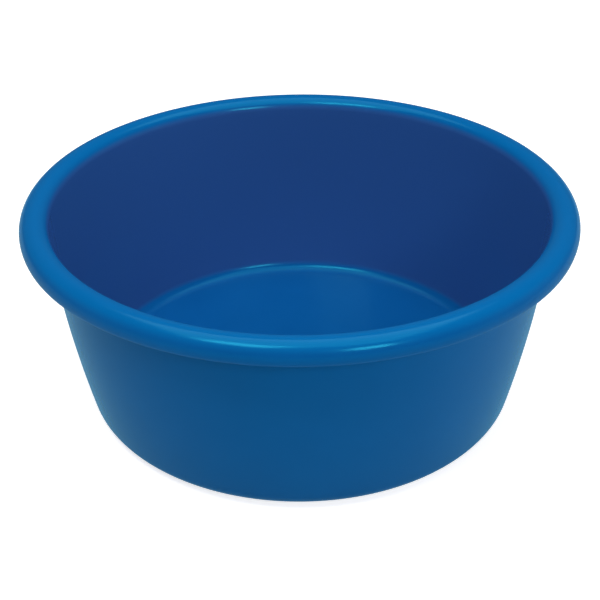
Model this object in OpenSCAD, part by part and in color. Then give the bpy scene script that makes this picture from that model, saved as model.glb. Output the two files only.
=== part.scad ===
// Round washing up bowl, moulded in one shot from polypropylene.
// Its section runs without a break from a flat floor on a foot ring, round a tight heel and up
// a bulging wall, and then rolls outwards into a half-round lip over a hollow channel.
// Millimetres, +Z up, origin on the table under the middle of the bowl.

/* [Overall] */
// Diameter over the rolled lip
bowl_d = 320; // [240:5:420]
// Height from the table to the top of the lip
bowl_h = 127; // [90:0.5:170]

/* [Wall] */
// Thickness of the wall, the heel and the lip
wall_t = 1.8; // [1.2:0.1:3]
// Lean of the wall away from upright where it leaves the heel, in degrees
lean_low = 12.2; // [9:0.1:24]
// Lean of the wall where it runs into the lip, in degrees
lean_top = 3.7; // [0.5:0.1:6]
// Inside radius of the heel, where the floor turns up into the wall
heel_r = 8.4; // [4:0.2:30]

/* [Lip] */
// Width of the rolled lip, seen from above
lip_w = 16.6; // [14:0.2:26]
// Depth of the lip's free edge below the widest point of the roll
lip_drop = 3.3; // [1:0.1:6]

/* [Floor] */
// Thickness of the floor inside the foot ring
floor_t = 2.2; // [1.8:0.1:3.4]

/* [Foot ring] */
// Height of the foot ring below the floor's outer part
foot_h = 2; // [1.2:0.1:5]
// Width of the foot ring where it leaves the floor
foot_w = 4.5; // [3:0.1:10]
// Distance from the start of the heel to the outside of the foot ring
foot_inset = 4; // [1:0.5:20]
// Chamfer on both edges of the foot ring
foot_chamfer = 0.4; // [0.2:0.1:0.8]

/* [Gate mark] */
// Diameter of the dimple under the floor where the plastic entered the mould
gate_d = 14; // [8:1:30]
// Depth of the dimple
gate_depth = 0.5; // [0.2:0.1:1]
// Diameter of the trimmed stub in the dimple
stub_d = 3; // [1.5:0.5:6]
// Height of the trimmed stub
stub_h = 0.4; // [0.2:0.1:1]

/* [Hidden] */

// Draft of the foot ring's sides, in degrees
foot_draft = 5;
// Length by which neighbouring stretches of the section overlap
lap = 0.1;
// The tighter of two curves that run into each other stands this much proud, so that they
// cross instead of only touching
proud = 0.005;
// Facets of a full turn: the small round edge, the heel and the roll, the wall's wide arc, and
// the turn about the bowl's axis
edge_fn = 48;
curve_fn = 144;
wall_fn = 1440;
turn_fn = 180;

// Centre and radius of the roll's round back
lip_r = lip_w / 2;
lip_c = [bowl_d / 2 - lip_r, bowl_h - lip_r];
// The roll's free edge is rounded, and ends at the angle that lets it reach down by lip_drop
edge_r = wall_t / 2;
edge_a = -asin((lip_drop - edge_r) / (lip_r - edge_r));

// The wall's inside is one arc that leaves the heel at lean_low and meets the lip at lean_top,
// so its radius follows from the height between the centres of heel and lip
heel_z = foot_h + wall_t + heel_r;
wall_r = (lip_c.y - heel_z + lip_r * sin(lean_top) + heel_r * sin(lean_low))
    / (sin(lean_low) - sin(lean_top));
wall_c = lip_c + (wall_r + lip_r) * [-cos(lean_top), sin(lean_top)];
heel_c = [wall_c.x + (wall_r - heel_r) * cos(lean_low), heel_z];

// Heights at which the wall leaves the heel, inside and outside, and meets the lip
wall_low_in = wall_c.y - wall_r * sin(lean_low);
wall_low_out = wall_low_in - wall_t * sin(lean_low);
wall_high = wall_c.y - wall_r * sin(lean_top);

// Levels of the floor, and the foot ring's outside and inside at its root
floor_r = heel_c.x;
floor_top = foot_h + wall_t;
panel_z = floor_top - floor_t;
foot_ro = floor_r - foot_inset;
foot_ri = foot_ro - foot_w;

// A rectangle from its low corner to its high corner
module span(low, high) {
    translate(low) square(high - low);
}

// What lies inside the heel's curve and the wall's curve, up to a height: once with the
// plastic and once without it
module vessel(skin, low, wall_low, high) {
    span([-lap, low], [floor_r, heel_z]);
    translate(heel_c) circle(heel_r + skin + proud, $fn = curve_fn);
    intersection() {
        translate(wall_c) circle(wall_r + skin, $fn = wall_fn);
        span([-lap, wall_low], [bowl_d / 2, high]);
    }
}

// The roll as a solid bead, from its rounded free edge over the top to a little way down the wall
module roll() {
    last_a = 180 - lean_top + asin(lap / lip_r);
    turn = (last_a - edge_a) / 3;
    rim = [for (i = [0:3]) bowl_d * [cos(edge_a + i * turn), sin(edge_a + i * turn)]];
    translate(lip_c) {
        intersection() {
            circle(lip_r + proud, $fn = curve_fn);
            polygon(concat([[0, 0]], rim));
        }
        rotate(edge_a) translate([lip_r - edge_r + proud, 0]) circle(edge_r + proud, $fn = edge_fn);
    }
}

// The hollow channel under the roll
module channel() {
    translate(lip_c) circle(lip_r - wall_t + proud, $fn = curve_fn);
}

// The floor's thicker middle inside the foot ring
module panel() {
    span([-lap, panel_z], [foot_ri + lap, floor_top - lap]);
}

// The dimple at the gate, around its trimmed stub
module gate_dimple() {
    difference() {
        span([-lap, panel_z - lap], [gate_d / 2, panel_z + gate_depth]);
        span([-2 * lap, panel_z + gate_depth - stub_h], [stub_d / 2, floor_top]);
    }
}

// Foot ring with drafted sides and chamfered edges
module foot_ring() {
    draft = foot_h * tan(foot_draft);
    outside = foot_ro - draft;
    inside = foot_ri + draft;
    polygon([
        [foot_ri, foot_h],
        [inside, foot_chamfer],
        [inside + foot_chamfer, 0],
        [outside - foot_chamfer, 0],
        [outside, foot_chamfer],
        [foot_ro, foot_h],
        [foot_ro, foot_h + lap],
        [foot_ri, foot_h + lap]
    ]);
}

// Half of the bowl's section, to the right of its axis
module section() {
    difference() {
        union() {
            vessel(wall_t, foot_h, wall_low_out, wall_high + lap);
            roll();
            panel();
            foot_ring();
        }
        vessel(0, floor_top, wall_low_in, bowl_h + lap);
        channel();
        gate_dimple();
        // nothing is left of the axis
        span([-bowl_d, -lap], [0, bowl_h + lap]);
    }
}

// The whole moulding
module bowl() {
    color("#0b5c9e") rotate_extrude($fn = turn_fn) section();
}

bowl();
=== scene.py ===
"""Round washing up bowl of blue polypropylene on a white studio table.

The bowl is one moulding.  Its section is drawn by swinging a point round the centres of its
arcs, and is then turned about the bowl's axis.  Metres, +Z up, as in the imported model.
"""

from math import asin, cos, pi, radians, sin, tan

import bmesh
import bpy
from mathutils import Matrix, Vector


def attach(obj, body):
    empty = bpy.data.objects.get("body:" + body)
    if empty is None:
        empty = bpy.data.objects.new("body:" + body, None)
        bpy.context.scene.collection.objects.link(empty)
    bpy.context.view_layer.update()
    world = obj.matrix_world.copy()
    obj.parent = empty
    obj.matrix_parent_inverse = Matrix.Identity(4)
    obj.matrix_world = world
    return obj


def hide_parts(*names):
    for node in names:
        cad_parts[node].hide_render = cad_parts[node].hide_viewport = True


MM = 0.001

# Sizes of the bowl, in mm, the same as the solid's
BOWL_D = 320.0
BOWL_H = 127.0
WALL_T = 1.8
LEAN_LOW = radians(12.2)
LEAN_TOP = radians(3.7)
HEEL_R = 8.4
LIP_W = 16.6
LIP_DROP = 3.3
FLOOR_T = 2.2
FOOT_H = 2.0
FOOT_W = 4.5
FOOT_INSET = 4.0
FOOT_CHAMFER = 0.4
FOOT_DRAFT = radians(5.0)
GATE_D = 14.0
GATE_DEPTH = 0.5
STUB_D = 3.0
STUB_H = 0.4

# Centres and levels that follow from them
LIP_R = LIP_W / 2
LIP_C = Vector((BOWL_D / 2 - LIP_R, BOWL_H - LIP_R))
EDGE_R = WALL_T / 2
EDGE_A = -asin((LIP_DROP - EDGE_R) / (LIP_R - EDGE_R))
HEEL_Z = FOOT_H + WALL_T + HEEL_R
WALL_R = ((LIP_C.y - HEEL_Z + LIP_R * sin(LEAN_TOP) + HEEL_R * sin(LEAN_LOW))
          / (sin(LEAN_LOW) - sin(LEAN_TOP)))
WALL_C = LIP_C + (WALL_R + LIP_R) * Vector((-cos(LEAN_TOP), sin(LEAN_TOP)))
HEEL_C = Vector((WALL_C.x + (WALL_R - HEEL_R) * cos(LEAN_LOW), HEEL_Z))
FLOOR_TOP = FOOT_H + WALL_T
PANEL_Z = FLOOR_TOP - FLOOR_T
FOOT_RO = HEEL_C.x - FOOT_INSET
FOOT_RI = FOOT_RO - FOOT_W

# Steps in which the curves of the section are drawn, the rings of the floor, and the turn about
# the axis
HEEL_STEPS = 18
WALL_STEPS = 24
LIP_STEPS = 40
CHANNEL_STEPS = 32
EDGE_STEPS = 10
FLOOR_RINGS = 4
TURN_STEPS = 256
# A flat stretch stays flat in the shading up to this far from its ends, in mm, on the floor and
# on the underside, and up to this share of its length where it is short
FLOOR_MARGIN = 0.3
UNDERSIDE_MARGIN = 0.08
MARGIN_SHARE = 0.3
# Corners sharper than this stay crisp, such as the chamfers of the foot ring
CRISP = radians(24)
# Points closer together than this are one, such as those on the axis
WELD = 0.002 * MM

# The two marks for painted shade and painted light in the plastic's colour.  The inside of the
# wall, which lies in shade, is marked by how far it faces the axis, and the crown of the lip,
# which faces the light from above, by how far it faces up: not at all below the first value, and
# in full from the second
SHADED_INSIDE_WALL = "shaded_inside_wall"
FACES_AXIS = (0.8, 0.97)
LIT_LIP_CROWN = "lit_lip_crown"
FACES_UP = (0.45, 0.8)


def linear(hex_colour):
    """An sRGB colour such as '#0a6fb0' as the linear colour that a shader takes."""
    parts = [int(hex_colour[i:i + 2], 16) / 255 for i in (1, 3, 5)]
    return [c / 12.92 if c <= 0.04045 else ((c + 0.055) / 1.055) ** 2.4 for c in parts] + [1.0]


def add(tree, kind, inputs=None, **properties):
    """Adds a node.  An input that is given a socket is linked to it, and others are set."""
    node = tree.nodes.new(kind)
    for name, value in properties.items():
        setattr(node, name, value)
    for name, value in (inputs or {}).items():
        if isinstance(value, bpy.types.NodeSocket):
            tree.links.new(value, node.inputs[name])
        else:
            node.inputs[name].default_value = value
    return node


def ramp(low, high, value):
    """0 up to the low value, 1 from the high one, and straight between them."""
    return min(max((value - low) / (high - low), 0), 1)


def finished(bm, name):
    """The shape as an object of its own in the scene."""
    mesh = bpy.data.meshes.new(name)
    bm.to_mesh(mesh)
    bm.free()
    piece = bpy.data.objects.new(name, mesh)
    bpy.context.scene.collection.objects.link(piece)
    return piece


# The section

def draw_to(bm, tip, r, z, margin):
    """A straight stretch.  A ring of points close to each end, within the margin in mm, keeps
    the shading flat between them."""
    begin = tip.co.copy()
    end = Vector((r * MM, 0, z * MM))
    share = min(margin * MM / (end - begin).length, MARGIN_SHARE)
    for step in (share, 1 - share, 1):
        tip = bmesh.ops.extrude_vert_indiv(bm, verts=[tip])["verts"][0]
        tip.co = begin.lerp(end, step)
    return tip


def swing(bm, tip, centre, turn, steps):
    """An arc: the point swings round a centre, anticlockwise where the turn is positive."""
    done = bmesh.ops.spin(bm, geom=[tip], cent=(centre.x * MM, 0, centre.y * MM),
                          axis=(0, -1, 0), angle=turn, steps=steps)
    return [v for v in done["geom_last"] if isinstance(v, bmesh.types.BMVert)][0]


def draw_inside(bm):
    """From the middle of the floor up the wall and over the lip to its free edge."""
    tip = bm.verts.new((0, 0, FLOOR_TOP * MM))
    for ring in range(1, FLOOR_RINGS + 1):
        tip = draw_to(bm, tip, ring / FLOOR_RINGS * HEEL_C.x, FLOOR_TOP, FLOOR_MARGIN)
    tip = swing(bm, tip, HEEL_C, pi / 2 - LEAN_LOW, HEEL_STEPS)
    tip = swing(bm, tip, WALL_C, LEAN_LOW - LEAN_TOP, WALL_STEPS)
    tip = swing(bm, tip, LIP_C, EDGE_A + LEAN_TOP - pi, LIP_STEPS)
    edge_c = LIP_C + (LIP_R - EDGE_R) * Vector((cos(EDGE_A), sin(EDGE_A)))
    return swing(bm, tip, edge_c, -pi, EDGE_STEPS)


def draw_outside(bm, tip):
    """From the lip's free edge through its channel and down the wall to the foot ring."""
    tip = swing(bm, tip, LIP_C, pi - LEAN_TOP - EDGE_A, CHANNEL_STEPS)
    tip = swing(bm, tip, WALL_C, LEAN_TOP - LEAN_LOW, WALL_STEPS)
    return swing(bm, tip, HEEL_C, LEAN_LOW - pi / 2, HEEL_STEPS)


def draw_underside(bm, tip):
    """The drafted foot ring, the thicker floor panel, and the gate's dimple with its stub."""
    draft = FOOT_H * tan(FOOT_DRAFT)
    outside = FOOT_RO - draft
    inside = FOOT_RI + draft
    panel_r = FOOT_RI + draft * (FOOT_H - PANEL_Z) / FOOT_H
    gate_top = PANEL_Z + GATE_DEPTH
    corners = (
        (FOOT_RO, FOOT_H),
        (outside, FOOT_CHAMFER),
        (outside - FOOT_CHAMFER, 0),
        (inside + FOOT_CHAMFER, 0),
        (inside, FOOT_CHAMFER),
        (panel_r, PANEL_Z),
        (GATE_D / 2, PANEL_Z),
        (GATE_D / 2, gate_top),
        (STUB_D / 2, gate_top),
        (STUB_D / 2, gate_top - STUB_H),
        (0, gate_top - STUB_H))
    for r, z in corners:
        tip = draw_to(bm, tip, r, z, UNDERSIDE_MARGIN)


def mark_painted_shade_and_light(bm):
    """Marks the inside of the wall for painted shade and the crown of the lip for painted light,
    from 0 to 1.
    """
    bm.normal_update()
    inside = bm.verts.layers.float.new(SHADED_INSIDE_WALL)
    crown = bm.verts.layers.float.new(LIT_LIP_CROWN)
    for vert in bm.verts:
        outwards = Vector((vert.co.x, vert.co.y, 0)).normalized()
        # the inside of the wall, which lies in shade, is marked for painted shade
        vert[inside] = ramp(*FACES_AXIS, -vert.normal.dot(outwards))
        # the crown of the lip, which faces the light from above, is marked for painted light
        if vert.co.z > LIP_C.y * MM:
            vert[crown] = ramp(*FACES_UP, vert.normal.z)


def mould_bowl():
    """The whole moulding: its section, turned about the axis and closed."""
    bm = bmesh.new()
    draw_underside(bm, draw_outside(bm, draw_inside(bm)))
    bmesh.ops.spin(bm, geom=bm.verts[:] + bm.edges[:], axis=(0, 0, 1), angle=2 * pi,
                   steps=TURN_STEPS, use_merge=True)
    bmesh.ops.remove_doubles(bm, verts=bm.verts[:], dist=WELD)
    bmesh.ops.recalc_face_normals(bm, faces=bm.faces[:])
    mark_painted_shade_and_light(bm)
    piece = finished(bm, "bowl_moulding")
    piece.data.shade_smooth()
    piece.data.set_sharp_from_angle(angle=CRISP)
    return piece


# The plastic

# Sizes of its patterns, in mm: clouds from the flow of the melt, patches from the polishing of
# the tool, and the dimples of the orange peel
CLOUDS = 40.0
PATCHES = 15.0
DIMPLES = 1.25
# Depth of the dimples in mm before their strength, which brings it to about 0.015 mm
DIMPLE_DEPTH = 0.3
DIMPLE_STRENGTH = 0.05
# Blue at the two ends of the clouds
CLOUD_TONES = ("#075ba1", "#0b63ab")
# Painted shade and light: the inside of the wall, which lies in shade, is painted a touch more
# violet, and the lip's crown, where the light from above falls, is painted lighter
PAINTED_SHADE_AND_LIGHT_TONES = ((SHADED_INSIDE_WALL, "#2e5b9f"), (LIT_LIP_CROWN, "#046bb0"))
# The noise values and the roughness at the two ends of the patches, and what wear adds to the
# foot ring's standing face
PATCH_NOISE = (0.3, 0.7)
PATCH_ROUGHNESS = (0.16, 0.21)
WEAR_ROUGHNESS = 0.25
REFRACTION = 1.49
# The photograph's shine is blue, with hardly any red in it
SHINE = 0.42
SHINE_TINT = (0.05, 0.85, 1.0, 1.0)


def pattern(tree, place, size, detail, roughness=0.5):
    """Noise from 0 to 1 in spots of a size in mm."""
    noise = add(tree, "ShaderNodeTexNoise", {"Vector": place, "Scale": 1 / (size * MM),
                                             "Detail": detail, "Roughness": roughness})
    return noise.outputs["Fac"]


def blend(tree, share, low, high):
    """A colour between two others, each of them a socket or a colour."""
    # the node's inputs 6 and 7 and its output 2 are those for colours
    mix = add(tree, "ShaderNodeMix", {"Factor": share, 6: low, 7: high}, data_type="RGBA")
    return mix.outputs[2]


def pigment_of(tree, place):
    """Deep blue that is a touch uneven where the melt flowed, under a painted violet shade on the
    inside of the wall and painted light on the crown of the lip.
    """
    clouds = pattern(tree, place, CLOUDS, detail=3.0)
    dark, light = CLOUD_TONES
    colour = blend(tree, clouds, linear(dark), linear(light))
    # the marks lay painted shade on the inside of the wall and painted light on the lip's crown
    for mark, tone in PAINTED_SHADE_AND_LIGHT_TONES:
        share = add(tree, "ShaderNodeAttribute", attribute_name=mark).outputs["Fac"]
        colour = blend(tree, share, colour, linear(tone))
    return colour


def satin_of(tree, place):
    """Roughness that changes a little over patches, as the tool was polished by hand.  The foot
    ring's standing face is rubbed dull by sinks and draining boards."""
    patches = pattern(tree, place, PATCHES, detail=5.0, roughness=0.6)
    polish = add(tree, "ShaderNodeMapRange", {
        "Value": patches, "From Min": PATCH_NOISE[0], "From Max": PATCH_NOISE[1],
        "To Min": PATCH_ROUGHNESS[0], "To Max": PATCH_ROUGHNESS[1]})
    height = add(tree, "ShaderNodeSeparateXYZ", {"Vector": place}).outputs["Z"]
    rubbed = add(tree, "ShaderNodeMapRange", {
        "Value": height, "From Max": 2 * FOOT_CHAMFER * MM,
        "To Min": WEAR_ROUGHNESS, "To Max": 0.0})
    both = add(tree, "ShaderNodeMath", {0: polish.outputs["Result"], 1: rubbed.outputs["Result"]},
               operation="ADD")
    return both.outputs[0]


def moulded_polypropylene():
    """Blue polypropylene, injection moulded against a polished tool: a smooth skin with a satin
    shine that the light streaks along, and a faint orange peel that softens the streaks."""
    material = bpy.data.materials.new("injection_moulded_polypropylene")
    material.use_nodes = True
    tree = material.node_tree
    tree.nodes.clear()
    place = add(tree, "ShaderNodeTexCoord").outputs["Object"]
    peel = add(tree, "ShaderNodeBump", {
        "Height": pattern(tree, place, DIMPLES, detail=2.0),
        "Strength": DIMPLE_STRENGTH,
        "Distance": DIMPLE_DEPTH * MM})
    skin = add(tree, "ShaderNodeBsdfPrincipled", {
        "Base Color": pigment_of(tree, place),
        "Roughness": satin_of(tree, place),
        "Normal": peel.outputs["Normal"],
        "IOR": REFRACTION,
        "Specular IOR Level": SHINE,
        "Specular Tint": SHINE_TINT})
    add(tree, "ShaderNodeOutputMaterial", {"Surface": skin.outputs["BSDF"]})
    return material


# The studio

# The card on the table, and the glow that keeps it white where the camera sees it
TABLE_WHITE = "#e0e0e0"
TABLE_LIFT = 0.75
# Share of the white table that shows in a shine, and a painted reflection for the rest: a light
# blue glow that the card shows only in the bowl's shine
TABLE_SHINE = 0.16
PAINTED_REFLECTION_BLUE = (0.0, 0.65, 1.0, 1.0)
PAINTED_REFLECTION_STRENGTH = 0.45
# How bright the room is, both on the bowl and in a shine
ROOM_LIGHT = 0.05
# The table is wide enough to have no edge in the photograph's view, and has this many sides
TABLE_R = 6.0
TABLE_SIDES = 96
# The table lies a hair below the foot ring's standing face, so that the two never flicker
TABLE_GAP = 0.1 * MM

# Where each lamp stands, its size and its watts, and whether it shows in a shine: the one over
# the bowl lights the crown of the lip and the heel, and the two small ones draw the streaks
LAMPS = (
    ("softbox_over", (0.0, -0.05, 1.25), (1.35, 1.3), 9.2, True),
    ("backdrop_glow", (0.0, 2.2, 1.2), (4.0, 1.6), 18.0, False),
    ("softbox_front", (0.0, -1.3, 1.1), (1.2, 0.6), 1.0, False),
    ("side_glow_right", (1.6, 0.0, 0.5), (1.4, 0.8), 6.5, False),
    ("side_glow_left", (-1.6, 0.0, 0.5), (1.4, 0.8), 3.5, False),
    ("softbox_right", (0.54, -1.10, 0.85), (0.32, 0.32), 3.6, True),
    ("softbox_left", (-0.38, -0.60, 1.40), (0.55, 0.40), 4.8, True),
)
LAMP_AIM = Vector((0, 0, 0.08))

# The photograph's camera, fitted to the bowl's outline, the lip's inner edge and the heel: where
# it stands, and by how much it looks down and leans over, in radians
CAMERA_PLACE = (-0.00016, -0.60688, 0.42695)
CAMERA_DOWN = 0.55034
CAMERA_ROLL = -0.0089
LENS_MM = 70.025
SENSOR_MM = 36.0


def seen(tree, path, kinds):
    """1 for what the camera sees straight or along these kinds of ray, and 0 for the rest."""
    level = path.outputs["Is Camera Ray"]
    for kind in kinds:
        either = add(tree, "ShaderNodeMath", {0: level, 1: path.outputs[kind]},
                     operation="MAXIMUM")
        level = either.outputs[0]
    return level


def white_card():
    """Matt white card that shows clean white, keeps the bowl's shadow, and stands dim in a shine,
    as in the photograph.  The blue that it shows there is a painted reflection: a glow that only
    the bowl's shine sees."""
    material = bpy.data.materials.new("studio_white_card")
    material.use_nodes = True
    tree = material.node_tree
    tree.nodes.clear()
    path = add(tree, "ShaderNodeLightPath")
    card = add(tree, "ShaderNodeBsdfDiffuse", {"Color": linear(TABLE_WHITE)})
    shown = seen(tree, path, ("Is Transmission Ray", "Is Glossy Ray"))
    lift = add(tree, "ShaderNodeMath", {0: shown, 1: TABLE_LIFT}, operation="MULTIPLY")
    glow = add(tree, "ShaderNodeEmission", {"Strength": lift.outputs[0]})
    white = add(tree, "ShaderNodeAddShader", {0: card.outputs[0], 1: glow.outputs[0]})
    # painted reflection: a light blue glow that only the bowl's shine sees
    blue = add(tree, "ShaderNodeEmission", {"Color": PAINTED_REFLECTION_BLUE, "Strength": PAINTED_REFLECTION_STRENGTH})
    dim = add(tree, "ShaderNodeMath", {0: path.outputs["Is Glossy Ray"], 1: 1 - TABLE_SHINE},
              operation="MULTIPLY")
    surface = add(tree, "ShaderNodeMixShader", {0: dim.outputs[0], 1: white.outputs[0],
                                                2: blue.outputs[0]})
    add(tree, "ShaderNodeOutputMaterial", {"Surface": surface.outputs[0]})
    return material


def lay_table():
    """The round white table under the bowl."""
    bm = bmesh.new()
    bmesh.ops.create_circle(bm, cap_ends=True, segments=TABLE_SIDES, radius=TABLE_R)
    bmesh.ops.translate(bm, verts=bm.verts[:], vec=(0, 0, -TABLE_GAP))
    table = finished(bm, "studio_table")
    table.data.materials.append(white_card())


def light_room():
    """The surroundings: white where they are seen, and dim where they only light or shine."""
    world = bpy.data.worlds.new("studio_room")
    bpy.context.scene.world = world
    world.use_nodes = True
    tree = world.node_tree
    tree.nodes.clear()
    path = add(tree, "ShaderNodeLightPath")
    shown = seen(tree, path, ("Is Transmission Ray",))
    level = add(tree, "ShaderNodeMath", {0: shown, 1: ROOM_LIGHT}, operation="MAXIMUM")
    room = add(tree, "ShaderNodeBackground", {"Strength": level.outputs[0],
                                              "Color": (1, 1, 1, 1)})
    add(tree, "ShaderNodeOutputWorld", {"Surface": room.outputs[0]})


def hang_lamp(name, place, size, watts, shows):
    """A softbox that aims at the bowl."""
    lamp = bpy.data.lights.new(name, "AREA")
    lamp.shape = "RECTANGLE"
    lamp.size, lamp.size_y = size
    lamp.energy = watts
    holder = bpy.data.objects.new(name, lamp)
    bpy.context.scene.collection.objects.link(holder)
    holder.location = place
    holder.rotation_euler = (LAMP_AIM - Vector(place)).to_track_quat("-Z", "Y").to_euler()
    holder.visible_glossy = shows


def set_camera():
    """The photograph's view: from 0.74 m away, 31.5 degrees down, with a long lens."""
    camera = bpy.data.cameras.new("studio_camera")
    camera.sensor_width = SENSOR_MM
    camera.lens = LENS_MM
    holder = bpy.data.objects.new("studio_camera", camera)
    bpy.context.scene.collection.objects.link(holder)
    holder.matrix_world = (Matrix.Translation(CAMERA_PLACE)
                           @ Matrix.Rotation(pi / 2 - CAMERA_DOWN, 4, "X")
                           @ Matrix.Rotation(CAMERA_ROLL, 4, "Z"))
    bpy.context.scene.camera = holder


# The scene

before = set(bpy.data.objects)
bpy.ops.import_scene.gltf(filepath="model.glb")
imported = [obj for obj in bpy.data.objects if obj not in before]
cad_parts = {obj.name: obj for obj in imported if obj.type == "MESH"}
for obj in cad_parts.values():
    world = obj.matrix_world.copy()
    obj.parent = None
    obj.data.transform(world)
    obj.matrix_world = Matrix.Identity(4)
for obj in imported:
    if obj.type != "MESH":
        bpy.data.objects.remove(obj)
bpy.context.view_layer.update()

bowl = mould_bowl()
bowl.data.materials.append(moulded_polypropylene())
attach(bowl, "root")
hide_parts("bowl")

lay_table()
light_room()
for lamp_row in LAMPS:
    hang_lamp(*lamp_row)
set_camera()
bpy.context.scene.view_settings.view_transform = "Standard"
